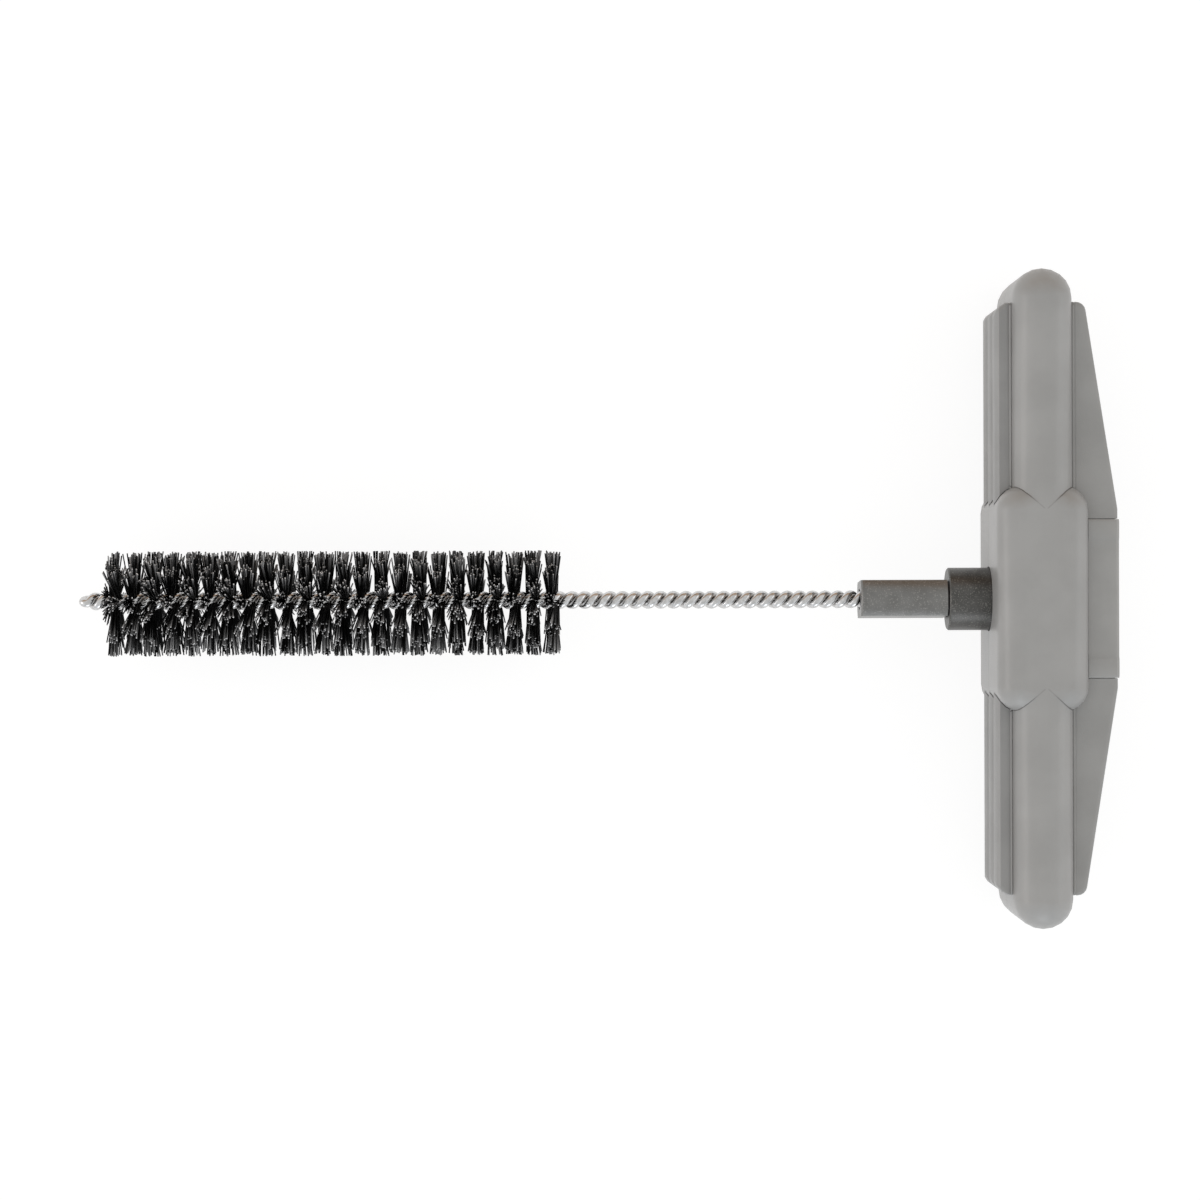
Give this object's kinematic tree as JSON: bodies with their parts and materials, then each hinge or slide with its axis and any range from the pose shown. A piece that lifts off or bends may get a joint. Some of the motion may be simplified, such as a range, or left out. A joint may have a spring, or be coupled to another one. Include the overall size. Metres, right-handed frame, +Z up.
{
  "type": "borehole cleaning brush",
  "caption": "Twisted-wire borehole cleaning brush with black bristles, a screwed-in steel socket and a ribbed plastic T handle.",
  "frame": {"origin": "centre of the back face of the handle's hub, which the tool rests on when it lies on its back", "axes": "stem along X with the bristles towards -X, T handle along Y, +Z up out of the resting face"},
  "size_m": [0.1732, 0.109, 0.0289],
  "materials": {
    "handle_plastic": "satin grey moulded plastic",
    "pad_plastic": "satin grey moulded plastic, slightly darker",
    "grip_plastic": "matt darker grey moulded plastic",
    "insert_brass": "plain turned brass",
    "dark_steel": "blackened turned steel",
    "wire_steel": "bright drawn wire",
    "bristle_nylon": "black nylon filament"
  },
  "bodies": {
    "handle": {"handle_front_shell": "handle_plastic", "handle_back_shell": "handle_plastic", "finger_pad_upper": "pad_plastic", "finger_pad_lower": "pad_plastic", "palm_rest": "grip_plastic", "palm_clip": "grip_plastic", "threaded_insert": "insert_brass"},
    "collar": {"collar": "dark_steel"},
    "brush": {"wire_socket": "dark_steel", "wire_stem": "wire_steel", "bristle_fill": "bristle_nylon"}
  },
  "joints": [
    {"name": "collar_travel", "type": "slide", "parent": "handle", "child": "collar", "axis": [-1, 0, 0], "range_m": [0, 0.006]},
    {"name": "socket_turn", "type": "hinge", "parent": "collar", "child": "brush", "pos_m": [0, 0, 0.01445], "axis": [-1, 0, 0], "range_deg": [0, 2160.1]}
  ],
  "couplings": [
    {"joint": "socket_turn", "follows": "collar_travel", "rad_per_m": 6283.2}
  ]
}
